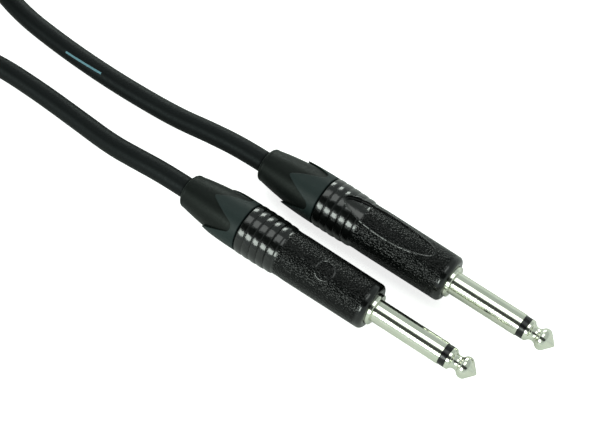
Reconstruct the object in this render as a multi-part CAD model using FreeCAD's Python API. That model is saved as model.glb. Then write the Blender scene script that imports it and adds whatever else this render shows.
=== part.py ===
"""Instrument cable: two straight 6.35 mm jack plugs on one round cable, with its spare length in a tied hank.

Millimetres, +Z up. The origin is plug A's finger datum: the front face of its collar, on its axis.
+X runs along plug A's finger, towards its tip. Each plug is drawn in its own frame with the same datum
and +X, and then laid in its place. On a plug's pieces, x runs along its axis and r is the distance from it.
"""

import FreeCAD, Part
import math
import os

from FreeCAD import Rotation, Vector

# --- The finger that enters the socket ---
FINGER_LENGTH = 30.35  # collar face to point
SHANK_R = 3.175
RING_R = 3.0  # insulator ring between shank and tip
RING_LENGTH = 1.9
TIP_LENGTH = 8.0  # ring to point
SHANK_LENGTH = FINGER_LENGTH - TIP_LENGTH - RING_LENGTH
TIP_BASE_R = 3.0
TIP_HEAD_R = 3.08
TIP_NECK_R = 1.95
TIP_BASE_LENGTH = 0.6
TIP_CONE_LENGTH = 3.3  # the head's widest place to the point
TIP_CONE_LEAN = math.radians(48)
TIP_NOSE_R = 0.55
COLLAR_R = 4.45
COLLAR_LENGTH = 3.0
FLANGE_R = 5.4  # bears on the housing's inner shoulder
FLANGE_LENGTH = 2.0
SHANK_BORE_R = 1.9
ROD_R = 1.1

# --- Named clearances ---
NEST = 0.05  # between round pieces that nest and don't turn
RUNNING = 0.1  # between round pieces that turn or slide on each other
THREAD_GAP = 0.17  # between the two threads, crest to root
JACKET_GAP = 0.15  # between the boot and the cable
CROWN_GAP = 0.25  # between the housing and the gland nut's crown

# --- Housing ---
HOUSING_FRONT = -1.05
HOUSING_LENGTH = 40.65
LIP_FLAT_R = 5.3
LIP_ROUND = 1.3
BARREL_FRONT_R = 6.6
BARREL_REAR_R = 6.8
BARREL_LENGTH = 25.8  # lip to the start of the flare before the ribs
WAIST_R = 6.74
RIB_CREST_R = 7.36
RIB_CREST_RS = [RIB_CREST_R * share for share in (0.969, 0.9865, 0.996, 1.0, 1.0)]  # front to rear
RIB_PITCH = 2.4
RIB_DEPTH = 0.32
RIB_CROWN = 0.1  # height of a rib's gently curved top
RIB_EDGE = 0.26  # width of its slope down to the groove
BORE_R = 5.45
PANEL_FLOOR_R = 6.35  # the bare label panels are sunk to here
PANEL_LENGTH = 28.5
PANEL_WIDTH = 7.3
PANEL_FRONT = -7.45
BADGE_R = 2.5
BADGE_X = -15.6

# --- Gland nut, thread and boot ---
THREAD_PITCH = 1.5
THREAD_ROOT_R = 5.9  # bottom of the groove in the housing
THREAD_HEIGHT = 0.45
THREAD_CREST = 0.35  # width of the ridge at its top
THREAD_BASE = 0.65  # and at its foot
THREAD_LENGTH = 7.5
SPIGOT_LENGTH = 9.35
CROWN_R = 7.25
CROWN_REAR_R = 6.92
CROWN_LENGTH = 10.75  # joint to the petals' points
CROWN_WEB = 1.15
VALLEY_DEPTH_LEFT = 2.05  # joint to the bottom of a valley
VALLEY_R = 1.75
PETAL_POINT_R = 0.6
PETALS = 4
BOOT_LENGTH = 19.2
BOOT_FRONT_R = 6.9
BOOT_MIDDLE_R = 6.42
BOOT_REAR_R = 5.03
BOOT_RIM_R = 3.9
BOOT_RIM_LENGTH = 1.2

# --- Inside ---
CABLE_R = 3.1
CORE_R = 1.25
CORE_LENGTH = 5.6  # insulation left bare of its jacket
WIRE_LAP = 4.6  # the bare wire lies this far over the tip's tongue
PIGTAIL_LAP = 5.0  # and the pigtail this far over the sleeve's
WIRE_R = 0.5
PIGTAIL_R = 0.7
STRIP_X = -26.0  # the jacket is cut back to here
LINER_WALL = 0.6
LINER_SPACE = 0.7  # between the liner and the clamp
CHUCK_HEAD_R = 5.3
CHUCK_HEAD_LENGTH = 4.2
CHUCK_LENGTH = 12.5
CHUCK_FRONT_R = 4.25
CHUCK_REAR_R = 3.85
CHUCK_SLOT = 1.1
BOSS_R = 3.6
BOSS_LENGTH = 4.0
WASHER_R = 2.9
WASHER_LENGTH = 1.4
LUG_R = 2.6
LUG_THICKNESS = 0.7
RIVET_R = 1.8
TERMINAL_THICKNESS = 0.6
TIP_TERMINAL_Z = 1.9  # underside of the tip's solder tongue
TIP_TERMINAL_WIDTH = 3.0
TIP_TERMINAL_END = -19.0
SLEEVE_TERMINAL_Z = -3.9  # underside of the sleeve's solder tongue
SLEEVE_TERMINAL_WIDTH = 4.0
SLEEVE_TERMINAL_END = -20.0
TIP_SOLDER_R = 1.35
SLEEVE_SOLDER_R = 1.95
SOLDER_FILM = 0.12  # under the wire

# --- Where the plugs lie ---
# name: (datum x, datum y, yaw, turn of the housing's long panel, turn of the petals), degrees
PLUGS = {
    "plug_a": (0.0, 0.0, 0.0, 84.0, 18.0),
    "plug_b": (-11.7, -18.9, 0.67, 282.0, 2.0),
}
FLOOR_Z = -max(RIB_CREST_RS)

# --- The cable's hank ---
HANK_LAYERS = 6
HANK_RUN = 56.0  # straight part of a turn
TURN_SPACING = 6.3
HANK_SLACK = 0.4  # the hank's solid stands this much outside its turns
INNER_FOLD_R = 18.7
OUTER_FOLD_R = INNER_FOLD_R + TURN_SPACING
HANK_HEAD_X = -211.5  # where the turns' straight part starts
HANK_Y = -12.0
TIE_THICKNESS = 1.0
TIE_WIDTH = 16.0
LIE_Z = FLOOR_Z + CABLE_R  # centre of the cable where it lies on the floor
HANK_Z = LIE_Z + TIE_THICKNESS  # centre of the lowest turns, which lie on the tie

BOOT_X = HOUSING_FRONT - HOUSING_LENGTH - CROWN_GAP - CROWN_WEB  # boot's front face
JOINT_X = HOUSING_FRONT - HOUSING_LENGTH - CROWN_GAP  # crown's front face
EXIT_X = BOOT_X - BOOT_LENGTH
SPIGOT_FRONT = JOINT_X + SPIGOT_LENGTH
CHUCK_FRONT = SPIGOT_FRONT + 0.3 + CHUCK_HEAD_LENGTH

X = Vector(1, 0, 0)
Z = Vector(0, 0, 1)


def edge_chain(outline):
    """Edges through the outline's points. An entry of two points is an arc's middle and end."""
    edges, here = [], outline[0]
    for step in outline[1:]:
        if isinstance(step[0], tuple):
            middle, end = step
            edges.append(Part.Arc(Vector(*here), Vector(*middle), Vector(*end)).toShape())
            here = end
        else:
            edges.append(Part.LineSegment(Vector(*here), Vector(*step)).toShape())
            here = step
    return edges


def flat_outline(outline, place):
    return [
        tuple(place(*p) for p in step) if isinstance(step[0], tuple) else place(*step)
        for step in outline
    ]


def lathe(outline):
    """A closed outline of (x, r), turned about the X axis."""
    points = flat_outline(outline + [outline[0]], lambda x, r: (x, 0.0, r))
    return Part.Face(Part.Wire(edge_chain(points))).revolve(Vector(), X, 360)


def rod(x0, x1, radius, y=0.0, z=0.0):
    return Part.makeCylinder(radius, abs(x1 - x0), Vector(min(x0, x1), y, z), X)


def block(x0, x1, y0, y1, z0, z1):
    corner = Vector(min(x0, x1), min(y0, y1), min(z0, z1))
    return Part.makeBox(abs(x1 - x0), abs(y1 - y0), abs(z1 - z0), corner)


def turned(shape, degrees):
    shape = shape.copy()
    shape.rotate(Vector(), X, degrees)
    return shape


def route_edges(points):
    """Straight runs joined by tangent arcs, each as large as its two runs allow."""
    points = [Vector(*p) for p in points]
    edges, here, radii = [], points[0], []
    for before, corner, after in zip(points, points[1:], points[2:]):
        back, on = (before - corner), (after - corner)
        reach = 0.45 * min(back.Length, on.Length)
        back.normalize()
        on.normalize()
        half_turn = (math.pi - back.getAngle(on)) / 2
        radius = reach / math.tan(half_turn)
        start, end = corner + back * reach, corner + on * reach
        inward = back + on
        inward.normalize()
        middle = corner + inward * (radius / math.cos(half_turn) - radius)
        edges.append(Part.LineSegment(here, start).toShape())
        edges.append(Part.Arc(start, middle, end).toShape())
        radii.append(round(radius, 1))
        here = end
    edges.append(Part.LineSegment(here, points[-1]).toShape())
    return edges, radii


def tube(name, points, radius):
    """A round tube along a route. It prints its radii, and its volume against its section times its length."""
    edges, radii = route_edges(points)
    path = Part.Wire(edges)
    start = Vector(*points[0])
    ring = Part.Wire(Part.makeCircle(radius, start, Vector(*points[1]) - start))
    shape = path.makePipeShell([ring], True, False)
    expected = math.pi * radius**2 * path.Length
    print(f"{name}: length {path.Length:.1f}, volume {shape.Volume / expected:.4f} of expected, radii {radii}")
    return shape


def helix_ridge(x0, length, foot_r, top_r, foot_width, top_width):
    """A right-hand ridge about the X axis, from x0 forwards. Ridges with other x0 lie on the same helix."""
    path = Part.makeHelix(THREAD_PITCH, length, foot_r)
    profile = [(foot_r, -foot_width / 2), (top_r, -top_width / 2), (top_r, top_width / 2), (foot_r, foot_width / 2)]
    points = flat_outline(profile + [profile[0]], lambda r, z: (r, 0.0, z))
    ridge = Part.Wire(path).makePipeShell([Part.Wire(edge_chain(points))], True, True)
    ridge.rotate(Vector(), Z, 360 * x0 / THREAD_PITCH)
    ridge.translate(Vector(0, 0, x0))
    ridge.rotate(Vector(), Vector(0, 1, 0), 90)
    return ridge


# --- One plug's pieces, in the plug's own frame ---


def housing_blank():
    rear = HOUSING_FRONT - HOUSING_LENGTH
    shoulder = -COLLAR_LENGTH
    mouth_r = COLLAR_R + RUNNING
    lip = HOUSING_FRONT - LIP_ROUND
    bend = LIP_ROUND * (1 - math.sqrt(0.5))
    ribs_front = rear + RIB_PITCH * len(RIB_CREST_RS)
    outline = [
        (HOUSING_FRONT, mouth_r),
        (HOUSING_FRONT, LIP_FLAT_R),
        ((HOUSING_FRONT - bend, BARREL_FRONT_R - bend), (lip, BARREL_FRONT_R)),
        (lip - BARREL_LENGTH * 0.9, BARREL_REAR_R),
        (lip - BARREL_LENGTH, WAIST_R),
        (ribs_front, RIB_CREST_RS[0] - RIB_DEPTH),
    ]
    for number, crest in enumerate(RIB_CREST_RS):
        front = ribs_front - number * RIB_PITCH
        groove_r = min(RIB_CREST_RS[number : number + 2]) - RIB_DEPTH
        edge_r = crest - RIB_CROWN
        outline.append((front - RIB_EDGE, edge_r))
        outline.append(((front - RIB_PITCH / 2, crest), (front - RIB_PITCH + RIB_EDGE, edge_r)))
        outline.append((front - RIB_PITCH, groove_r))
    outline += [(rear, BORE_R), (shoulder, BORE_R), (shoulder, mouth_r)]
    return lathe(outline)


def long_panel():
    """The long oval panel's cutter: everything above its round floor, inside the oval."""
    middle = PANEL_FRONT - PANEL_LENGTH / 2
    oval = Part.Ellipse(Vector(middle, 0, 0), PANEL_LENGTH / 2, PANEL_WIDTH / 2).toShape()
    prism = Part.Face(Part.Wire([oval])).extrude(Z * 2 * PANEL_FLOOR_R)
    return prism.cut(rod(PANEL_FRONT - PANEL_LENGTH - 1, PANEL_FRONT + 1, PANEL_FLOOR_R))


def round_badge():
    """A bare round field, opposite the long panel."""
    disc = Part.makeCylinder(BADGE_R, 2 * PANEL_FLOOR_R, Vector(BADGE_X, 0, 0), -Z)
    return disc.cut(rod(BADGE_X - 2 * BADGE_R, BADGE_X + 2 * BADGE_R, PANEL_FLOOR_R))


def housing(panel_turn):
    groove = helix_ridge(
        HOUSING_FRONT - HOUSING_LENGTH - THREAD_PITCH,
        THREAD_LENGTH + 1.5 * THREAD_PITCH,
        BORE_R - THREAD_GAP,
        THREAD_ROOT_R,
        THREAD_BASE + 2 * THREAD_GAP,
        THREAD_CREST + 2 * THREAD_GAP,
    )
    body = housing_blank().cut(groove)
    for panel in (long_panel(), round_badge()):
        body = body.cut(turned(panel, panel_turn - 90))
    return body


def boot_blank():
    """The boot with no hole through it. The crown is moulded round this shape."""
    rim_x = EXIT_X + BOOT_RIM_LENGTH
    middle_x = BOOT_X - 0.46 * (BOOT_X - rim_x)
    bend_x = EXIT_X + BOOT_RIM_LENGTH * 0.25
    return lathe(
        [
            (BOOT_X, 0),
            (BOOT_X, BOOT_FRONT_R),
            ((middle_x, BOOT_MIDDLE_R), (rim_x, BOOT_REAR_R)),
            ((bend_x, BOOT_RIM_R + 0.78 * (BOOT_REAR_R - BOOT_RIM_R)), (EXIT_X, BOOT_RIM_R)),
            (EXIT_X, 0),
        ]
    )


def boot():
    return boot_blank().cut(rod(EXIT_X - 1, BOOT_X + 1, CABLE_R + JACKET_GAP))


def valley():
    """Cuts one rounded valley between two petals, whose points are round too."""
    bottom = JOINT_X - VALLEY_DEPTH_LEFT
    point = JOINT_X - CROWN_LENGTH
    edge = CROWN_R * math.sin(math.pi / PETALS)
    centre_x = bottom - VALLEY_R
    # the side of the valley is a line that touches its round bottom and the petal's round point
    run, rise = point + PETAL_POINT_R - centre_x, edge
    turn = math.atan2(rise, run) - math.acos((VALLEY_R + PETAL_POINT_R) / math.hypot(run, rise))
    lean, middle = (math.cos(turn), math.sin(turn)), (turn + 2 * math.pi) / 2

    def on_point(angle, side):
        return (point + PETAL_POINT_R * (1 + math.cos(angle)), side * (edge + PETAL_POINT_R * math.sin(angle)))

    start = (centre_x + VALLEY_R * lean[0], VALLEY_R * lean[1])
    outline = [
        start,
        ((bottom, 0), (start[0], -start[1])),
        on_point(turn + math.pi, -1),
        (on_point(middle, -1), (point, -edge)),
        (point - 1, -edge - 1),
        (point - 1, edge + 1),
        (point, edge),
        (on_point(middle, 1), on_point(turn + math.pi, 1)),
        start,
    ]
    points = flat_outline(outline, lambda x, y: (x, y, 0.0))
    return Part.Face(Part.Wire(edge_chain(points))).extrude(Z * 2 * CROWN_R)


def gland_nut(petal_turn):
    point = JOINT_X - CROWN_LENGTH
    root_r = THREAD_ROOT_R - THREAD_GAP - THREAD_HEIGHT
    cone_front = CHUCK_FRONT_R + RUNNING
    cone_rear = CHUCK_REAR_R + RUNNING
    chuck_rear = CHUCK_FRONT - CHUCK_LENGTH
    blank = lathe(
        [
            (SPIGOT_FRONT, cone_front),
            (SPIGOT_FRONT, root_r),
            (JOINT_X, root_r),
            (JOINT_X, CROWN_R - 0.15),
            (JOINT_X - 0.15, CROWN_R),
            ((JOINT_X - 0.6 * CROWN_LENGTH, 0.3 * CROWN_REAR_R + 0.7 * CROWN_R), (point, CROWN_REAR_R)),
            (point, cone_rear),
            (chuck_rear, cone_rear),
        ]
    )
    nut = blank.cut(boot_blank())
    for number in range(PETALS):
        nut = nut.cut(turned(valley(), petal_turn - 45 + number * 360 / PETALS))
    ridge = helix_ridge(
        HOUSING_FRONT - HOUSING_LENGTH + THREAD_PITCH / 2,
        THREAD_LENGTH - THREAD_PITCH / 2,
        root_r - 0.1,
        root_r + THREAD_HEIGHT,
        THREAD_BASE,
        THREAD_CREST,
    )
    return nut.fuse(ridge)


def chuck():
    """The clamp that the gland nut squeezes on the cable. Its four fingers are slotted from the rear."""
    shoulder, rear = CHUCK_FRONT - CHUCK_HEAD_LENGTH, CHUCK_FRONT - CHUCK_LENGTH
    bore_r = CABLE_R + RUNNING
    clamp = lathe(
        [
            (CHUCK_FRONT, bore_r),
            (CHUCK_FRONT, CHUCK_HEAD_R),
            (shoulder, CHUCK_HEAD_R),
            (shoulder, CHUCK_FRONT_R),
            (rear, CHUCK_REAR_R),
            (rear, bore_r),
        ]
    )
    half = CHUCK_SLOT / 2
    slot = block(rear - 1, shoulder - 0.8, -half, half, -CHUCK_HEAD_R, CHUCK_HEAD_R)
    return clamp.cut(slot).cut(turned(slot, 90))


def liner():
    """The plastic tube that keeps the terminals off the metal housing."""
    front = -COLLAR_LENGTH - FLANGE_LENGTH - RUNNING
    rear = CHUCK_FRONT + LINER_SPACE
    outer = BORE_R - RUNNING
    return rod(front, rear, outer).cut(rod(front + 1, rear - 1, outer - LINER_WALL))


def sleeve_contact():
    flange_rear = -COLLAR_LENGTH - FLANGE_LENGTH
    boss_rear = flange_rear - BOSS_LENGTH
    turned_part = lathe(
        [
            (SHANK_LENGTH, SHANK_BORE_R),
            (SHANK_LENGTH, SHANK_R),
            (0, SHANK_R),
            (0, COLLAR_R - 0.15),
            (-0.15, COLLAR_R),
            (-COLLAR_LENGTH, COLLAR_R),
            (-COLLAR_LENGTH, FLANGE_R),
            (flange_rear, FLANGE_R),
            (flange_rear, BOSS_R),
            (boss_rear, BOSS_R),
            (boss_rear, SHANK_BORE_R),
        ]
    )
    half = SLEEVE_TERMINAL_WIDTH / 2
    top = SLEEVE_TERMINAL_Z + TERMINAL_THICKNESS
    return turned_part.fuse(block(SLEEVE_TERMINAL_END, flange_rear, -half, half, SLEEVE_TERMINAL_Z, top))


INSULATOR_REAR = -COLLAR_LENGTH - FLANGE_LENGTH - BOSS_LENGTH - WASHER_LENGTH
LUG_REAR = INSULATOR_REAR - LUG_THICKNESS


def tip_insulator():
    ring_front = SHANK_LENGTH + RING_LENGTH
    return lathe(
        [
            (ring_front, ROD_R + NEST),
            (ring_front, RING_R),
            (SHANK_LENGTH, RING_R),
            (SHANK_LENGTH, SHANK_BORE_R - NEST),
            (INSULATOR_REAR + WASHER_LENGTH, SHANK_BORE_R - NEST),
            (INSULATOR_REAR + WASHER_LENGTH, WASHER_R),
            (INSULATOR_REAR, WASHER_R),
            (INSULATOR_REAR, ROD_R + NEST),
        ]
    )


def tip_contact():
    """The tip and the rod behind it, which is riveted over the tip's solder lug."""
    base = SHANK_LENGTH + RING_LENGTH
    head = FINGER_LENGTH - TIP_CONE_LENGTH
    neck = head - 2.3
    flare = base + TIP_BASE_LENGTH
    nose = FINGER_LENGTH - TIP_NOSE_R

    def on_nose(angle):
        return (nose + TIP_NOSE_R * math.cos(angle), TIP_NOSE_R * math.sin(angle))

    return lathe(
        [
            (LUG_REAR - 0.8, 0),
            (LUG_REAR - 0.8, RIVET_R - 0.4),
            (LUG_REAR - 0.4, RIVET_R),
            (LUG_REAR, RIVET_R),
            (LUG_REAR, ROD_R),
            (base, ROD_R),
            (base, TIP_BASE_R),
            (flare, TIP_BASE_R),
            ((flare + 0.27, TIP_BASE_R - 0.08), (flare + 0.45, TIP_BASE_R - 0.3)),
            ((flare + 0.85, TIP_NECK_R + 0.28), (neck - 0.1, TIP_NECK_R)),
            (neck + 0.1, TIP_NECK_R),
            ((neck + 0.75, TIP_NECK_R + 0.25), (neck + 1.15, TIP_NECK_R + 0.65)),
            ((head - 0.55, TIP_HEAD_R - 0.1), (head, TIP_HEAD_R)),
            ((head + 0.65, TIP_HEAD_R - 0.13), (head + 1.15, TIP_HEAD_R - 0.48)),
            on_nose(math.pi / 2 - TIP_CONE_LEAN),
            (on_nose((math.pi / 2 - TIP_CONE_LEAN) / 2), (FINGER_LENGTH, 0)),
        ]
    )


def tip_terminal():
    half = TIP_TERMINAL_WIDTH / 2
    lug = rod(INSULATOR_REAR, LUG_REAR, LUG_R).cut(rod(INSULATOR_REAR + 1, LUG_REAR - 1, ROD_R + NEST))
    top = TIP_TERMINAL_Z + TERMINAL_THICKNESS
    return lug.fuse(block(TIP_TERMINAL_END, INSULATOR_REAR, -half, half, TIP_TERMINAL_Z, top))


def solder_dome(x, z, radius, wire):
    """A dome of solder on a tongue's top face, round the wire that lies there."""
    dome = Part.makeSphere(radius, Vector(x, 0, z))
    above = block(x - radius, x + radius, -radius, radius, z, z + radius)
    return dome.common(above).cut(wire)


def plug_parts(panel_turn, petal_turn):
    tip_face = TIP_TERMINAL_Z + TERMINAL_THICKNESS
    sleeve_face = SLEEVE_TERMINAL_Z + TERMINAL_THICKNESS
    wire_z = tip_face + SOLDER_FILM + WIRE_R
    pigtail_z = sleeve_face + SOLDER_FILM + PIGTAIL_R
    core_end = STRIP_X + CORE_LENGTH
    core_route = [(STRIP_X, 0, 0), (STRIP_X + 1.5, 0, 0), (core_end - 1.5, 0, wire_z), (core_end, 0, wire_z)]
    pigtail_start = -CORE_R - PIGTAIL_R - 0.15
    pigtail_route = [
        (STRIP_X, 0, pigtail_start),
        (STRIP_X + 1.5, 0, pigtail_start),
        (STRIP_X + 3.5, 0, pigtail_z),
        (SLEEVE_TERMINAL_END + PIGTAIL_LAP, 0, pigtail_z),
    ]
    wire = rod(core_end, TIP_TERMINAL_END + WIRE_LAP, WIRE_R, z=wire_z)
    pigtail = tube("screen pigtail", pigtail_route, PIGTAIL_R)
    return {
        "housing": housing(panel_turn),
        "gland_nut": gland_nut(petal_turn),
        "boot": boot(),
        "cable_clamp": chuck(),
        "liner": liner(),
        "sleeve_contact": sleeve_contact(),
        "tip_insulator": tip_insulator(),
        "tip_contact": tip_contact(),
        "tip_terminal": tip_terminal(),
        "tip_solder": solder_dome(TIP_TERMINAL_END + 3.2, tip_face, TIP_SOLDER_R, wire),
        "sleeve_solder": solder_dome(SLEEVE_TERMINAL_END + 3.2, sleeve_face, SLEEVE_SOLDER_R, pigtail),
        "jacket_end": rod(EXIT_X, STRIP_X, CABLE_R),
        "core_insulation": tube("core insulation", core_route, CORE_R),
        "conductor": wire,
        "screen_pigtail": pigtail,
    }


def laid(shape, x, y, yaw):
    shape = shape.copy()
    shape.rotate(Vector(), Z, yaw)
    shape.translate(Vector(x, y, 0))
    return shape


def plug_point(plug, along):
    """A point on a plug's axis, in the cable's frame."""
    x, y, yaw = PLUGS[plug][:3]
    point = Rotation(Z, yaw).multVec(Vector(along, 0, 0)) + Vector(x, y, 0)
    return tuple(point)


# --- The cable outside the plugs ---
# Each route leaves its boot straight, comes down to the floor and ends in the hank.
STRAIGHT = 12.8  # first run, out of the boot
ROUTE_A = [
    plug_point("plug_a", EXIT_X),
    plug_point("plug_a", EXIT_X - STRAIGHT),
    (-90.1, -1.3, -2.7),
    (-105.0, -1.6, -4.0),
    (-121.5, -1.85, LIE_Z),
    (-140.2, -1.25, LIE_Z),
    (-160.0, 0.6, LIE_Z),
    (-179.0, 6.2, LIE_Z + 0.3),
    (-196.5, 11.6, HANK_Z - 0.2),
    (HANK_HEAD_X, HANK_Y + OUTER_FOLD_R, HANK_Z),
]
ROUTE_B = [
    plug_point("plug_b", EXIT_X),
    plug_point("plug_b", EXIT_X - STRAIGHT),
    (-102.0, -20.1, -2.7),
    (-116.9, -18.9, -4.0),
    (-133.4, -18.1, LIE_Z),
    (-151.0, -18.2, LIE_Z),
    (-168.0, -21.2, LIE_Z),
    (-184.3, -26.3, LIE_Z + 0.4),
    (-198.5, -29.9, HANK_Z - 0.2),
    (HANK_HEAD_X, HANK_Y - INNER_FOLD_R, HANK_Z),
]


def stadium(fold_r, z, height):
    """A racetrack-shaped slab: two half circles joined by the turns' straight part."""
    head, foot = HANK_HEAD_X, HANK_HEAD_X - HANK_RUN
    near, far = HANK_Y - fold_r, HANK_Y + fold_r
    outline = [
        (head, far),
        (foot, far),
        ((foot - fold_r, HANK_Y), (foot, near)),
        (head, near),
        ((head + fold_r, HANK_Y), (head, far)),
    ]
    points = flat_outline(outline, lambda x, y: (x, y, z))
    return Part.Face(Part.Wire(edge_chain(points))).extrude(Z * height)


HANK_BASE = HANK_Z - CABLE_R
HANK_HEIGHT = (HANK_LAYERS - 1) * TURN_SPACING + 2 * CABLE_R


def hank():
    """One ring of the turns' outer shape. The two ends of the cable's route run on into it."""
    ring = stadium(OUTER_FOLD_R + CABLE_R + HANK_SLACK, HANK_BASE, HANK_HEIGHT)
    return ring.cut(stadium(INNER_FOLD_R - CABLE_R - HANK_SLACK, HANK_BASE - 1, HANK_HEIGHT + 2))


def tie():
    """A strap round the turns on one side of the hank, which lie on it."""
    middle = HANK_HEAD_X - HANK_RUN / 2
    y0 = HANK_Y - OUTER_FOLD_R - CABLE_R - HANK_SLACK
    y1 = HANK_Y - INNER_FOLD_R + CABLE_R + HANK_SLACK
    z0, z1 = HANK_BASE, HANK_BASE + HANK_HEIGHT
    x0, x1 = middle - TIE_WIDTH / 2, middle + TIE_WIDTH / 2
    t = TIE_THICKNESS
    strap = block(x0, x1, y0 - t, y1 + t, z0 - t, z1 + t)
    along = [edge for edge in strap.Edges if abs(edge.tangentAt(edge.FirstParameter).x) > 0.9]
    return strap.makeFillet(0.9 * t, along).cut(block(x0 - 1, x1 + 1, y0, y1, z0, z1))


def main():
    os.makedirs("parts", exist_ok=True)
    nodes = {}
    for plug, (x, y, yaw, panel_turn, petal_turn) in PLUGS.items():
        for piece, shape in plug_parts(panel_turn, petal_turn).items():
            nodes[f"{plug}_{piece}"] = laid(shape, x, y, yaw)
    nodes["cable_run_a"] = tube("cable run a", ROUTE_A, CABLE_R)
    nodes["cable_run_b"] = tube("cable run b", ROUTE_B, CABLE_R)
    nodes["cable_hank"] = hank()
    nodes["hank_tie"] = tie()
    for name, shape in nodes.items():
        solids = shape.Solids
        if len(solids) != 1 or not shape.isValid():
            print(f"CHECK {name}: {len(solids)} solids, valid {shape.isValid()}")
        solids[0].exportStep(f"parts/{name}.step")


main()
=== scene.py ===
"""Looks of the instrument cable: two jack plugs on one round cable, its spare length in a tied hank.

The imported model's frame: the origin is plug A's finger datum and +X runs towards its tip. Sizes and
places are in millimetres, and times MM they are Blender's metres.
"""

import math

import bpy
from mathutils import Matrix, Vector


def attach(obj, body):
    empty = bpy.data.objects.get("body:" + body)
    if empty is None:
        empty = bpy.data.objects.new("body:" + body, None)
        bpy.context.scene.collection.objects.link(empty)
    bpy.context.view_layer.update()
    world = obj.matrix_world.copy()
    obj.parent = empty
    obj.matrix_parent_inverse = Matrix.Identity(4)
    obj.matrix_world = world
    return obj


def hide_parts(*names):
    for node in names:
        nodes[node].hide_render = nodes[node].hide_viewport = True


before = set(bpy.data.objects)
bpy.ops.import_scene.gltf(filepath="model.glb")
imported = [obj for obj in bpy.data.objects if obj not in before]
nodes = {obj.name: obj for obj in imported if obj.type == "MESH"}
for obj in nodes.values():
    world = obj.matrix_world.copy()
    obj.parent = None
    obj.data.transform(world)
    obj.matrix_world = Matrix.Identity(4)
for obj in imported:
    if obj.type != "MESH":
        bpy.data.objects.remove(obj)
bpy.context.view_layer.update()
MM = 0.001


def placed(name, data):
    """A new object in the scene."""
    made = bpy.data.objects.new(name, data)
    bpy.context.scene.collection.objects.link(made)
    return made


# --- Camera ---
CAMERA_TARGET = Vector((-45.61, -6.92, 0.0)) * MM
CAMERA_DISTANCE = 315.45 * MM
CAMERA_ELEVATION = math.radians(58.94)
CAMERA_BEARING = math.radians(-53.04)  # from +X, counter-clockwise
CAMERA_LENS, CAMERA_SENSOR = 69.36, 36.0


def direction(bearing, elevation):
    flat = math.cos(elevation)
    return Vector((flat * math.cos(bearing), flat * math.sin(bearing), math.sin(elevation)))


def make_camera():
    back = direction(CAMERA_BEARING, CAMERA_ELEVATION)
    data = bpy.data.cameras.new("camera")
    data.lens, data.sensor_width, data.sensor_fit = CAMERA_LENS, CAMERA_SENSOR, "HORIZONTAL"
    data.clip_start, data.clip_end = 0.01, 20.0
    camera = placed("camera", data)
    camera.location = CAMERA_TARGET + back * CAMERA_DISTANCE
    camera.rotation_euler = (-back).to_track_quat("-Z", "Y").to_euler()
    bpy.context.scene.camera = camera


make_camera()

# --- The cable's route ---
# It is the CAD source's, but for the points just behind the boots, which follow the photograph closer.
CABLE_R = 3.1
FLOOR_Z = -7.36
LIE_Z = FLOOR_Z + CABLE_R
TIE_THICKNESS = 1.0
HANK_Z = LIE_Z + TIE_THICKNESS
HANK_LAYERS = 6
TURN_SPACING = 6.3
INNER_FOLD_R = 18.7
OUTER_FOLD_R = INNER_FOLD_R + TURN_SPACING
HANK_HEAD_X = -211.5  # the middle of the folds nearer the plugs
HANK_FOOT_X = -267.5  # and of the folds farther off
HANK_Y = -12.0
PLUG_B = (-11.7, -18.9, math.radians(0.67))  # its datum and its turn
EXIT_X = -62.3  # where the cable leaves a boot, on the plug's axis
STRAIGHT = 8.7  # to the route's next point, on that axis too, because the boot slides back over the cable


def plug_b_point(x):
    """The point of plug B's axis at x from its datum."""
    ox, oy, yaw = PLUG_B
    return (ox + x * math.cos(yaw), oy + x * math.sin(yaw), 0.0)


ROUTE_A = [
    (EXIT_X, 0.0, 0.0),
    (EXIT_X - STRAIGHT, 0.0, 0.0),
    (-83.0, -0.6, -1.4),
    (-93.0, -1.25, -3.1),
    (-105.0, -1.6, -4.0),
    (-121.5, -1.85, LIE_Z),
    (-140.2, -1.25, LIE_Z),
    (-160.0, 0.6, LIE_Z),
    (-179.0, 6.2, LIE_Z + 0.3),
    (-196.5, 11.6, HANK_Z - 0.2),
    (HANK_HEAD_X, HANK_Y + OUTER_FOLD_R, HANK_Z),
]
ROUTE_B = [
    plug_b_point(EXIT_X),
    plug_b_point(EXIT_X - STRAIGHT),
    (-92.2, -20.05, -1.05),
    (-103.0, -20.05, -2.9),
    (-116.9, -18.9, -4.0),
    (-133.4, -18.1, LIE_Z),
    (-151.0, -18.2, LIE_Z),
    (-168.0, -21.2, LIE_Z),
    (-184.3, -26.3, LIE_Z + 0.4),
    (-198.5, -29.9, HANK_Z - 0.2),
    (HANK_HEAD_X, HANK_Y - INNER_FOLD_R, HANK_Z),
]
FOLD_POINTS = 8
FOLD_COSINE = math.cos(math.pi / FOLD_POINTS / 2)  # a fold's control points lie outside it by this ratio
FOOT_SHIFTS = (0.0, 1.6, 0.5, 2.2, 0.9, 1.8)  # how much shorter each layer's turns are at the foot
NARROWS_FROM, NARROWING = 0.55, 3.0  # from which share of a fold it narrows, and how fast


def ease(t):
    """From 0 to 1, slow at both ends."""
    return t * t * (3 - 2 * t)


def layer_z(layer):
    return HANK_Z + (layer - 1) * TURN_SPACING


def foot_fold(radius, layer):
    """From the far run, round the foot, to the near run."""
    centre = HANK_FOOT_X + FOOT_SHIFTS[layer - 1]
    reach = radius / FOLD_COSINE
    points = []
    for n in range(FOLD_POINTS):
        a = math.pi * (n + 0.5) / FOLD_POINTS
        points.append((centre - reach * math.sin(a), HANK_Y + reach * math.cos(a), layer_z(layer)))
    return points


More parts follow.
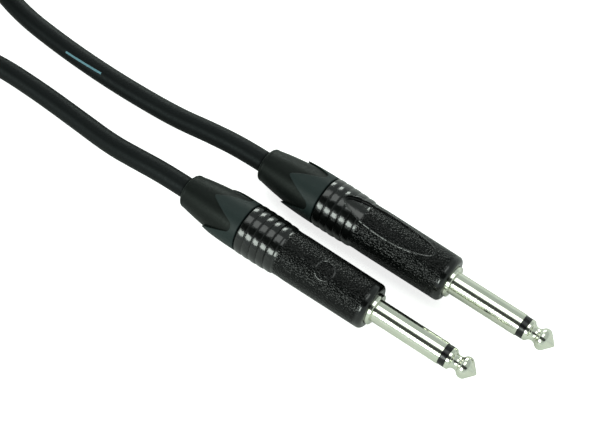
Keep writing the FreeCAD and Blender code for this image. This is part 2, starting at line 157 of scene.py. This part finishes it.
def head_fold(radius, layer, drop=0.0, narrow=0.0):
    """From the near run, round the head, to the far run. It may come down or narrow on the way."""
    points = []
    for n in range(FOLD_POINTS):
        t = (n + 0.5) / FOLD_POINTS
        a = math.pi * t
        reach = (radius - narrow * max(0.0, t - NARROWS_FROM) ** 2 * NARROWING) / FOLD_COSINE
        x = HANK_HEAD_X + reach * math.sin(a)
        y = HANK_Y - reach * math.cos(a)
        points.append((x, y, layer_z(layer) - drop * ease(t)))
    return points


def cable_points():
    """From boot A, up through the hank's outer turns, down through its inner ones, to boot B."""
    points = list(ROUTE_A)
    for turn in range(1, HANK_LAYERS):
        points += foot_fold(OUTER_FOLD_R, turn)
        last = turn == HANK_LAYERS - 1
        points += head_fold(OUTER_FOLD_R, turn + 1, narrow=TURN_SPACING if last else 0.0)
    for turn in range(1, HANK_LAYERS + 1):
        points += foot_fold(INNER_FOLD_R, HANK_LAYERS + 1 - turn)
        if turn < HANK_LAYERS:
            points += head_fold(INNER_FOLD_R, HANK_LAYERS + 1 - turn, drop=TURN_SPACING)
    return points + ROUTE_B[::-1]


def smooth_line(points, resolution):
    """Points along the NURBS spline that has these control points."""
    data = bpy.data.curves.new("route", "CURVE")
    data.dimensions = "3D"
    data.resolution_u = resolution
    spline = data.splines.new("NURBS")
    spline.points.add(len(points) - 1)
    for slot, point in zip(spline.points, points):
        slot.co = (*(Vector(point) * MM), 1.0)
    spline.order_u = 3
    spline.use_endpoint_u = True
    carrier = placed("route", data)
    bpy.context.view_layer.update()
    mesh = bpy.data.meshes.new_from_object(carrier)
    line = [v.co.copy() for v in mesh.vertices]
    bpy.data.objects.remove(carrier)
    bpy.data.meshes.remove(mesh)
    return line


def tube_mesh(name, line, radius, sides):
    """A capped tube. It keeps how far along a point is, and which way round it faces."""
    tangents = [(b - a).normalized() for a, b in zip([line[0]] + line[:-1], line[1:] + [line[-1]])]
    verts, along, facing, run = [], [], [], 0.0
    for n, (centre, tangent) in enumerate(zip(line, tangents)):
        run += (centre - line[n - 1]).length if n else 0.0
        side = tangent.cross(Vector((0, 0, 1))).normalized()
        up = side.cross(tangent)
        for k in range(sides):
            a = 2 * math.pi * k / sides
            verts.append(centre + (up * math.cos(a) + side * math.sin(a)) * radius)
            along.append(run)
            facing += (math.cos(a), math.sin(a), 0.0)
    faces = []
    for n in range(len(line) - 1):
        for k in range(sides):
            a, b = n * sides + k, n * sides + (k + 1) % sides
            faces.append((a, b, b + sides, a + sides))
    faces.append(tuple(reversed(range(sides))))
    faces.append(tuple(range(len(verts) - sides, len(verts))))
    mesh = bpy.data.meshes.new(name)
    mesh.from_pydata(verts, [], faces)
    mesh.attributes.new("along", "FLOAT", "POINT").data.foreach_set("value", along)
    mesh.attributes.new("facing", "FLOAT_VECTOR", "POINT").data.foreach_set("vector", facing)
    for polygon in mesh.polygons:
        polygon.use_smooth = len(polygon.vertices) == 4
    return placed(name, mesh), run


line = smooth_line(cable_points(), resolution=12)
cable, run = tube_mesh("cable", line, CABLE_R * MM, sides=24)
print(f"cable between the boots: {run:.4f} m")

# --- Hook-and-loop tie round one side of the hank ---
TIE_WIDTH = 16.0
TIE_X = (HANK_HEAD_X + HANK_FOOT_X) / 2
TIE_START_Z, TIE_END_Z = 23.0, 3.0  # the free end lies over the first one, on the outer side
TIE_CLEARANCE = 0.06
TIE_STEPS = 180  # once round
LAP_STEPS, LAP_RISE = 9, 1.04  # over how many steps the free end climbs, to how many thicknesses
# Lines along the strap, from an edge to its middle: how far in each is, and how much its faces draw in.
TIE_LINES = ((0.0, 0.55), (0.35, 0.12), (1.2, 0.0), (TIE_WIDTH / 4, 0.0), (TIE_WIDTH / 2, 0.0))
OUTER_DRAW, INNER_DRAW = 0.8, 0.5  # a face that draws in wholly moves by this many thicknesses
END_DRAW = 0.42  # and each face this far at the strap's two ends


def resampled(path, count):
    """(point, normal) pairs at even steps along a path of them."""
    lengths = [0.0]
    for (a, _), (b, _) in zip(path, path[1:]):
        lengths.append(lengths[-1] + (b - a).length)
    out, n = [], 0
    for k in range(count):
        want = lengths[-1] * k / count
        while lengths[n + 1] < want:
            n += 1
        part = (want - lengths[n]) / max(lengths[n + 1] - lengths[n], 1e-9)
        (a, na), (b, nb) = path[n], path[n + 1]
        out.append((a.lerp(b, part), na.lerp(nb, part).normalized()))
    return out


def tie_outline(x):
    """The tight outline round the turns at x, as (y, z) points and their normals, from the outer side."""
    # the outer turns climb by one layer along their run
    climb = TURN_SPACING * (0.5 + (x - TIE_X) / (HANK_HEAD_X - HANK_FOOT_X + 0.5 * OUTER_FOLD_R))
    outer_y, inner_y = HANK_Y - OUTER_FOLD_R, HANK_Y - INNER_FOLD_R
    top = (HANK_LAYERS - 1) * TURN_SPACING
    centres = [
        Vector((outer_y, HANK_Z + climb)),
        Vector((inner_y, HANK_Z)),
        Vector((inner_y, HANK_Z + top)),
        Vector((outer_y, HANK_Z + top - TURN_SPACING + climb)),
    ]
    corners, directions = [], 200
    for n in range(directions):
        a = math.pi + 2 * math.pi * n / directions
        away = Vector((math.cos(a), math.sin(a)))
        corners.append((max(centres, key=lambda c: c.dot(away)) + away * (CABLE_R + TIE_CLEARANCE), away))
    return resampled(corners + [corners[0]], TIE_STEPS)


def make_tie():
    half = TIE_WIDTH / 2
    lines = [(inset - half, draw) for inset, draw in TIE_LINES]
    lines += [(half - inset, draw) for inset, draw in TIE_LINES[-2::-1]]
    outlines = [tie_outline(TIE_X + x) for x, _ in lines]
    middle = outlines[len(outlines) // 2]
    outer_side = [n for n in range(TIE_STEPS) if middle[n][1].x < -0.95]
    start = min(outer_side, key=lambda n: abs(middle[n][0].y - TIE_START_Z))
    end = min(outer_side, key=lambda n: abs(middle[n][0].y - TIE_END_Z))
    # downwards on the outer side is forwards in the outline
    steps = range(start, start + TIE_STEPS + (end - start) % TIE_STEPS + 1)
    verts, faces = [], []
    for k, n in enumerate(steps):
        lift = LAP_RISE * TIE_THICKNESS * ease(min(1.0, max(0.0, (k - TIE_STEPS + LAP_STEPS) / LAP_STEPS)))
        end_draw = END_DRAW if k in (0, len(steps) - 1) else 0.0
        inner, outer = [], []
        for (x, draw), outline in zip(lines, outlines):
            point, away = outline[n % TIE_STEPS]
            low = lift + TIE_THICKNESS * INNER_DRAW * draw + end_draw
            high = lift + TIE_THICKNESS * (1 - OUTER_DRAW * draw) - end_draw
            for skin, rise in ((inner, low), (outer, high)):
                skin.append(Vector((TIE_X + x, point.x + away.x * rise, point.y + away.y * rise)) * MM)
        verts += inner + outer
    width = len(lines)
    row = 2 * width
    for k in range(len(steps) - 1):
        a, b = k * row, (k + 1) * row
        for i in range(width - 1):
            faces.append((a + i, a + i + 1, b + i + 1, b + i))
            faces.append((a + width + i, b + width + i, b + width + i + 1, a + width + i + 1))
        faces.append((a, b, b + width, a + width))
        faces.append((a + width - 1, a + row - 1, b + row - 1, b + width - 1))
    for base, flip in ((0, False), ((len(steps) - 1) * row, True)):
        for i in range(width - 1):
            face = (base + i, base + width + i, base + width + i + 1, base + i + 1)
            faces.append(face[::-1] if flip else face)
    mesh = bpy.data.meshes.new("tie")
    mesh.from_pydata(verts, [], faces)
    mesh.validate()
    for polygon in mesh.polygons:
        polygon.use_smooth = True
    return placed("tie", mesh)


tie = make_tie()
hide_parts("hank_tie")
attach(tie, "cable_and_plugs")

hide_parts("cable_run_a", "cable_run_b", "cable_hank")
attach(cable, "cable_and_plugs")


# --- Materials ---
class Nodes:
    """A node tree that is written as sums: each call adds a node and gives its result."""

    def __init__(self, tree):
        self.tree = tree

    def node(self, kind, inputs=None, **settings):
        """A new node. An input is a socket to link, or a plain value."""
        made = self.tree.nodes.new(kind)
        for key, value in settings.items():
            setattr(made, key, value)
        for key, value in (inputs or {}).items():
            if isinstance(value, bpy.types.NodeSocket):
                self.tree.links.new(value, made.inputs[key])
            else:
                made.inputs[key].default_value = value
        return made

    def maths(self, operation, *values):
        return self.node("ShaderNodeMath", dict(enumerate(values)), operation=operation).outputs[0]

    def spread(self, value, low, high, from_low=0.0, from_high=1.0, **settings):
        """From low, where the value is from_low or less, to high, where it is from_high or more."""
        inputs = {"Value": value, "From Min": from_low, "From Max": from_high, "To Min": low, "To Max": high}
        return self.node("ShaderNodeMapRange", inputs, **settings).outputs[0]

    def coordinates(self, vector):
        """A vector's X, Y and Z, by name."""
        return self.node("ShaderNodeSeparateXYZ", {"Vector": vector}).outputs


class Surface(Nodes):
    """A material. Its textures are laid in the object's own coordinates, so they stay on a part that moves.

    With a plug's datum and turn, they are laid along that plug's axis.
    """

    def __init__(self, name, plug=None, **constants):
        self.material = bpy.data.materials.new(name)
        self.material.use_nodes = True
        super().__init__(self.material.node_tree)
        self.shader = self.tree.nodes["Principled BSDF"]
        self.place = self.node("ShaderNodeTexCoord").outputs["Object"]
        if plug:
            ox, oy, yaw = plug
            inputs = {"Vector": self.place, "Location": (ox * MM, oy * MM, 0.0), "Rotation": (0.0, 0.0, yaw)}
            self.place = self.node("ShaderNodeMapping", inputs, vector_type="TEXTURE").outputs[0]
        self.bump = None
        for socket, value in constants.items():
            self.shader.inputs[socket.replace("_", " ")].default_value = value

    def feed(self, socket, value):
        """Links a value to one of the shader's sockets."""
        self.tree.links.new(value, self.shader.inputs[socket])

    def axis(self, name):
        """One coordinate of the place, in millimetres."""
        return self.maths("DIVIDE", self.coordinates(self.place)[name], MM)

    def between(self, value, low, high, soft):
        """1 where the value is between low and high, falling off to 0 over soft at each side."""
        rise = self.spread(value, 0.0, 1.0, low - soft, low)
        fall = self.spread(value, 1.0, 0.0, high, high + soft)
        return self.maths("MULTIPLY", rise, fall)

    def soft_edges(self, radius):
        """Rounds the edges' shading, about that far in millimetres."""
        self.bump = self.node("ShaderNodeBevel", {"Radius": radius * MM}, samples=6).outputs[0]
        self.feed("Normal", self.bump)

    def stretched(self, scale):
        return self.node("ShaderNodeMapping", {"Vector": self.place, "Scale": scale}).outputs[0]

    def noise(self, size, detail=2.0, roughness=0.5, place=None):
        """Noise with features of about that size, in millimetres."""
        place = place or self.place
        inputs = {"Vector": place, "Scale": 1 / (size * MM), "Detail": detail, "Roughness": roughness}
        return self.node("ShaderNodeTexNoise", inputs).outputs["Fac"]

    def cells(self, size):
        """How far a place is from the middle of its cell, in cells of about that size, in millimetres."""
        inputs = {"Vector": self.place, "Scale": 1 / (size * MM)}
        return self.node("ShaderNodeTexVoronoi", inputs).outputs["Distance"]

    def mixed(self, factor, a, b):
        """Colour a where factor is 0 and b where it is 1."""
        made = self.node("ShaderNodeMix", data_type="RGBA")
        for socket, value in (("Factor_Float", factor), ("A_Color", a), ("B_Color", b)):
            target = next(i for i in made.inputs if i.identifier == socket)
            if isinstance(value, bpy.types.NodeSocket):
                self.tree.links.new(value, target)
            else:
                target.default_value = (*value, 1.0)
        return next(o for o in made.outputs if o.identifier == "Result_Color")

    def colour(self, value):
        self.feed("Base Color", value)

    def roughness(self, value):
        self.feed("Roughness", value)

    def relief(self, height, depth):
        """Adds relief that is about that deep, in millimetres, on top of what is there."""
        inputs = {"Height": height, "Distance": depth * MM, "Strength": 1.0}
        if self.bump:
            inputs["Normal"] = self.bump
        self.bump = self.node("ShaderNodeBump", inputs).outputs[0]
        self.feed("Normal", self.bump)


BARREL_REACH, BARREL_SOFT = (-28.6, -3.4), 0.8  # the grained stretch of the plug's axis
PANEL = (-21.7, 14.25, 3.65)  # its middle on the plug's axis, half its length and half its width
BADGE = (-15.6, 2.5, 2.5)
RIM_REACH, RIM_SOFT = (-0.02, 0.18), 0.25  # how far out from its oval a rim reaches


def from_oval(s, turn, middle, half_length, half_width):
    """How far outside an oval on the housing a place is, in millimetres, seen square on to the oval."""
    forward = s.maths("SUBTRACT", s.axis("X"), middle)
    across = s.maths(
        "SUBTRACT",
        s.maths("MULTIPLY", s.axis("Z"), math.cos(turn)),
        s.maths("MULTIPLY", s.axis("Y"), math.sin(turn)),
    )

    def length(long, wide):
        parts = ((forward, long), (across, wide))
        squares = [s.maths("POWER", s.maths("ABSOLUTE", s.maths("DIVIDE", v, by)), 2.0) for v, by in parts]
        return s.maths("SQRT", s.maths("ADD", *squares))

    size = length(half_length, half_width)
    slope = s.maths("MAXIMUM", length(half_length**2, half_width**2), 0.001)
    return s.maths("DIVIDE", s.maths("MULTIPLY", s.maths("SUBTRACT", size, 1.0), size), slope)


def panel_rims(s, turn):
    """1 on the rim of the long panel, and on the rim of the badge on the housing's other side."""
    out = s.maths(
        "ADD",
        s.maths("MULTIPLY", s.axis("Y"), math.cos(turn)),
        s.maths("MULTIPLY", s.axis("Z"), math.sin(turn)),
    )
    panel = s.between(from_oval(s, turn, *PANEL), *RIM_REACH, RIM_SOFT)
    badge = s.between(from_oval(s, turn, *BADGE), *RIM_REACH, RIM_SOFT)
    front = s.maths("MULTIPLY", panel, s.spread(out, 0.0, 1.0, 1.0, 2.0))
    back = s.maths("MULTIPLY", badge, s.spread(out, 1.0, 0.0, -2.0, -1.0))
    return s.maths("ADD", front, back)


def crinkled_lacquer(plug, panel_turn):
    """Gloss black lacquer, with a deep grain on the barrel. The ribs, the rims and the lip are smooth."""
    s = Surface("crinkled_black_lacquer", plug)
    barrel = s.between(s.axis("X"), *BARREL_REACH, BARREL_SOFT)
    s.colour(s.mixed(s.noise(0.5), (0.0008, 0.0010, 0.0009), (0.0026, 0.0032, 0.0029)))
    s.roughness(s.spread(s.noise(0.6, detail=3.0), 0.10, 0.20, 0.3, 0.7))
    s.soft_edges(0.18)
    s.relief(s.noise(0.9), 0.035)
    rim = panel_rims(s, math.radians(panel_turn))
    s.relief(rim, 0.20)
    grained = s.maths("MULTIPLY", barrel, s.maths("SUBTRACT", 1.0, rim))
    s.feed("Specular IOR Level", s.spread(grained, 0.50, 0.12))
    cell = s.cells(0.46)
    grain = s.maths("ADD", s.maths("MULTIPLY", cell, cell), s.noise(0.8, detail=1.0))
    s.relief(s.maths("MULTIPLY", grain, grained), 0.13)
    return s


def satin_plastic(plug):
    """The gland nut's slate-grey moulded plastic."""
    s = Surface("slate_satin_plastic", plug, Specular_IOR_Level=0.16)
    cloud = s.noise(3.0, detail=3.0)
    s.colour(s.mixed(cloud, (0.0080, 0.0145, 0.0140), (0.0120, 0.0200, 0.0192)))
    s.roughness(s.spread(s.noise(0.3, detail=3.0), 0.44, 0.56, 0.3, 0.7))
    s.soft_edges(0.3)
    s.relief(s.noise(0.22), 0.006)
    return s


def boot_rubber():
    """Matt black rubber with a broad, slightly green sheen."""
    s = Surface(
        "boot_rubber",
        Specular_IOR_Level=0.12,
        Specular_Tint=(0.90, 1.0, 0.94, 1.0),
        Sheen_Weight=0.05,
        Sheen_Roughness=0.40,
        Sheen_Tint=(0.80, 1.0, 0.88, 1.0),
    )
    cloud = s.noise(2.4, detail=4.0)
    s.colour(s.mixed(cloud, (0.0015, 0.0020, 0.0018), (0.0032, 0.0042, 0.0037)))
    s.roughness(s.spread(s.noise(0.6, detail=4.0), 0.42, 0.54, 0.3, 0.7))
    s.relief(s.noise(0.18), 0.010)
    return s


def nickel():
    """Polished nickel with faint turning lines and soft stains."""
    s = Surface("polished_nickel", Metallic=1.0)
    stain = s.noise(4.0, detail=4.0)
    s.colour(s.mixed(s.spread(stain, 0.0, 1.0, 0.35, 0.75), (0.70, 0.71, 0.61), (0.62, 0.65, 0.54)))
    lines = s.noise(1.0, detail=3.0, place=s.stretched((14.0, 0.35, 0.35)))
    s.roughness(s.spread(lines, 0.09, 0.19, 0.3, 0.7))
    s.relief(lines, 0.0012)
    return s


def plain(name, low, high, rough, **constants):
    """A moulded or cast part with slight changes of colour and gloss."""
    s = Surface(name, **constants)
    s.colour(s.mixed(s.noise(3.0, detail=3.0), low, high))
    grain = s.noise(0.5)
    s.roughness(s.spread(grain, rough - 0.06, rough + 0.08, 0.3, 0.7))
    s.relief(grain, 0.01)
    return s


PRINT_REACH = (59.9, 73.9)  # along the cable from plug A's boot
PRINT_TURN = (-33.7, -44.7)  # round the cable from its top, in degrees, at either end
PRINT_FADE = (0.085, 0.115)  # how far off its middle line the bar fades out, in radians
PRINT_INK = (0.11, 0.22, 0.26)


def jacket():
    """The cable's soft matt PVC jacket, a little uneven along its length, with one bare printed bar."""
    s = Surface("soft_black_jacket", Specular_IOR_Level=0.11, Specular_Tint=(0.86, 0.98, 1.0, 1.0))
    black = s.mixed(s.noise(5.0, detail=4.0), (0.0014, 0.0017, 0.0018), (0.0030, 0.0035, 0.0036))
    along = s.maths("DIVIDE", s.node("ShaderNodeAttribute", attribute_name="along").outputs["Fac"], MM)
    facing = s.coordinates(s.node("ShaderNodeAttribute", attribute_name="facing").outputs["Vector"])
    turn = s.maths("ARCTAN2", facing["Y"], facing["X"])
    lay = s.spread(along, *(math.radians(angle) for angle in PRINT_TURN), *PRINT_REACH)
    off = s.maths("ABSOLUTE", s.maths("SUBTRACT", turn, lay))
    bar = s.maths("MULTIPLY", s.spread(off, 1.0, 0.0, *PRINT_FADE), s.between(along, *PRINT_REACH, 0.1))
    worn = s.maths("MULTIPLY", bar, s.spread(s.noise(0.5, detail=3.0), 0.80, 1.0, 0.35, 0.5))
    s.colour(s.mixed(worn, black, PRINT_INK))
    s.roughness(s.spread(s.noise(0.7, detail=4.0), 0.46, 0.58, 0.3, 0.7))
    s.relief(s.noise(9.0, detail=1.0), 0.10)
    s.relief(s.noise(0.14), 0.006)
    return s


def tie_fabric():
    """Black hook-and-loop tape: tufts of short loop pile, with fluff on them. The colour darkens from each
    tuft's middle into the hollows round it, which is painted shade.
    """
    sheen = {"Sheen_Weight": 0.35, "Sheen_Roughness": 0.5}
    s = Surface("hook_and_loop_tape", Specular_IOR_Level=0.25, Roughness=0.85, **sheen)
    tuft_and_hollow_shade = s.cells(0.55)
    # painted shade: each tuft is lighter in its middle and darker out in the hollows between tufts, where
    # the relief is lowest
    s.colour(s.mixed(s.spread(tuft_and_hollow_shade, 0.0, 1.0, 0.0, 0.7), (0.016, 0.016, 0.017), (0.004, 0.004, 0.0045)))
    s.relief(s.spread(tuft_and_hollow_shade, 1.0, 0.0, 0.0, 0.8), 0.22)
    s.relief(s.noise(0.25, detail=4.0, roughness=0.7), 0.08)
    return s


def black_insulator():
    low, high = (0.001, 0.001, 0.001), (0.003, 0.003, 0.003)
    return plain("black_insulator", low, high, 0.24, Specular_IOR_Level=0.35)


def clamp_nylon():
    return plain("clamp_nylon", (0.03, 0.03, 0.032), (0.05, 0.05, 0.052), 0.45)


def liner_plastic():
    return plain("liner_plastic", (0.010, 0.010, 0.011), (0.018, 0.018, 0.019), 0.5)


def terminal_brass():
    return plain("terminal_brass", (0.62, 0.42, 0.17), (0.70, 0.50, 0.22), 0.3, Metallic=1.0)


def solder():
    return plain("solder", (0.52, 0.53, 0.54), (0.64, 0.65, 0.66), 0.3, Metallic=1.0)


def core_polythene():
    return plain("core_polythene", (0.55, 0.53, 0.48), (0.66, 0.64, 0.58), 0.45)


def tinned_copper():
    return plain("tinned_copper", (0.70, 0.38, 0.22), (0.80, 0.50, 0.32), 0.32, Metallic=1.0)


def dress(surface, *pieces):
    for piece in pieces:
        piece.data.materials.clear()
        piece.data.materials.append(surface.material)


def both(*pieces):
    """The named pieces of plug A and plug B."""
    return [nodes[f"plug_{plug}_{piece}"] for piece in pieces for plug in "ab"]


# each plug's datum and turn, and how far its long panel is turned up from +Y, in degrees
for plug, where, panel_turn in (("a", (0.0, 0.0, 0.0), 84.0), ("b", PLUG_B, 282.0)):
    dress(crinkled_lacquer(where, panel_turn), nodes[f"plug_{plug}_housing"])
    dress(satin_plastic(where), nodes[f"plug_{plug}_gland_nut"])
dress(boot_rubber(), *both("boot"))
dress(nickel(), *both("sleeve_contact", "tip_contact"))
dress(black_insulator(), *both("tip_insulator"))
dress(clamp_nylon(), *both("cable_clamp"))
dress(liner_plastic(), *both("liner"))
dress(terminal_brass(), *both("tip_terminal"))
dress(solder(), *both("tip_solder", "sleeve_solder"))
dress(core_polythene(), *both("core_insulation"))
dress(tinned_copper(), *both("conductor", "screen_pigtail"))
dress(jacket(), cable, *both("jacket_end"))
dress(tie_fabric(), tie)


# --- Floor, lights and backdrop ---
FLOOR_HALF = 3.0  # metres
FLOOR_LIFT = 0.80  # what the camera's rays see added to it, so that the floor is white and its shadows faint


def make_floor():
    z = FLOOR_Z * MM
    corners = [(x * FLOOR_HALF, y * FLOOR_HALF, z) for x, y in ((-1, -1), (1, -1), (1, 1), (-1, 1))]
    mesh = bpy.data.meshes.new("floor")
    mesh.from_pydata(corners, [], [(0, 1, 2, 3)])
    floor = placed("floor", mesh)
    s = Surface("white_floor", Roughness=0.9, Specular_IOR_Level=0.0, Emission_Color=(1.0, 1.0, 1.0, 1.0))
    s.colour(s.mixed(s.noise(120.0), (0.79, 0.80, 0.78), (0.81, 0.82, 0.80)))
    seen = s.node("ShaderNodeLightPath").outputs["Is Camera Ray"]
    s.feed("Emission Strength", s.maths("MULTIPLY", seen, FLOOR_LIFT))
    dress(s, floor)


LIGHT_TARGET = Vector((-30.0, -10.0, 0.0)) * MM
LIGHT_DISTANCE = 1.2  # metres
# name: (bearing and elevation in degrees, width and height in metres, radiance, colour)
LIGHTS = {
    "front_box": (-110.5, 28.5, 0.75, 0.38, 12.5, (0.91, 1.0, 0.93)),
    "back_box": (122.0, 20.0, 0.46, 0.38, 9.0, (0.92, 1.0, 0.93)),
    "overhead_box": (160.0, 71.0, 0.85, 0.58, 2.3, (0.95, 1.0, 0.96)),
}


def make_lights():
    for name, (bearing, elevation, width, height, radiance, colour) in LIGHTS.items():
        away = direction(math.radians(bearing), math.radians(elevation))
        data = bpy.data.lights.new(name, "AREA")
        data.shape, data.size, data.size_y = "RECTANGLE", width, height
        data.energy = radiance * math.pi * width * height
        data.color = colour
        across = (Vector((1, 0, 0)) - away * away.x).normalized()
        turn = Matrix((across, away.cross(across), away)).transposed()
        light = placed(name, data)
        light.matrix_world = Matrix.Translation(LIGHT_TARGET + away * LIGHT_DISTANCE) @ turn.to_4x4()


# Where the backdrop changes, by height: the sine of the angle above the horizon.
STUDIO_HEIGHT, HORIZON_LEVEL, STUDIO_LEVEL = (0.10, 0.50), 0.90, 0.60
BAND_HEIGHT, BAND_LEVEL = (0.35, 0.55), 0.08
BAND_START, BAND_END = (98.0, 108.0), (130.0, 138.0)  # degrees up from +Y, over the top


def make_world():
    """A white backdrop round the horizon, a dimmer studio above it, and a dark band between the lights."""
    world = bpy.data.worlds.new("studio")
    bpy.context.scene.world = world
    world.use_nodes = True
    sky = Nodes(world.node_tree)

    def level(value, low, high, reach):
        return sky.spread(value, low, high, *reach, interpolation_type="SMOOTHSTEP")

    place = sky.coordinates(sky.node("ShaderNodeTexCoord").outputs["Generated"])
    height = place["Z"]
    climb = sky.maths("MULTIPLY", sky.maths("ARCTAN2", height, place["Y"]), math.degrees(1))
    studio = level(height, HORIZON_LEVEL, STUDIO_LEVEL, STUDIO_HEIGHT)
    band = sky.maths("MULTIPLY", level(climb, 0.0, 1.0, BAND_START), level(climb, 1.0, 0.0, BAND_END))
    band = sky.maths("MULTIPLY", band, level(height, 0.0, 1.0, BAND_HEIGHT))
    left = level(band, 1.0, BAND_LEVEL, (0.0, 1.0))
    background = sky.tree.nodes["Background"]
    background.inputs["Color"].default_value = (0.89, 1.0, 0.96, 1.0)
    sky.tree.links.new(sky.maths("MULTIPLY", studio, left), background.inputs["Strength"])


make_floor()
make_lights()
make_world()
bpy.context.scene.view_settings.view_transform = "Standard"
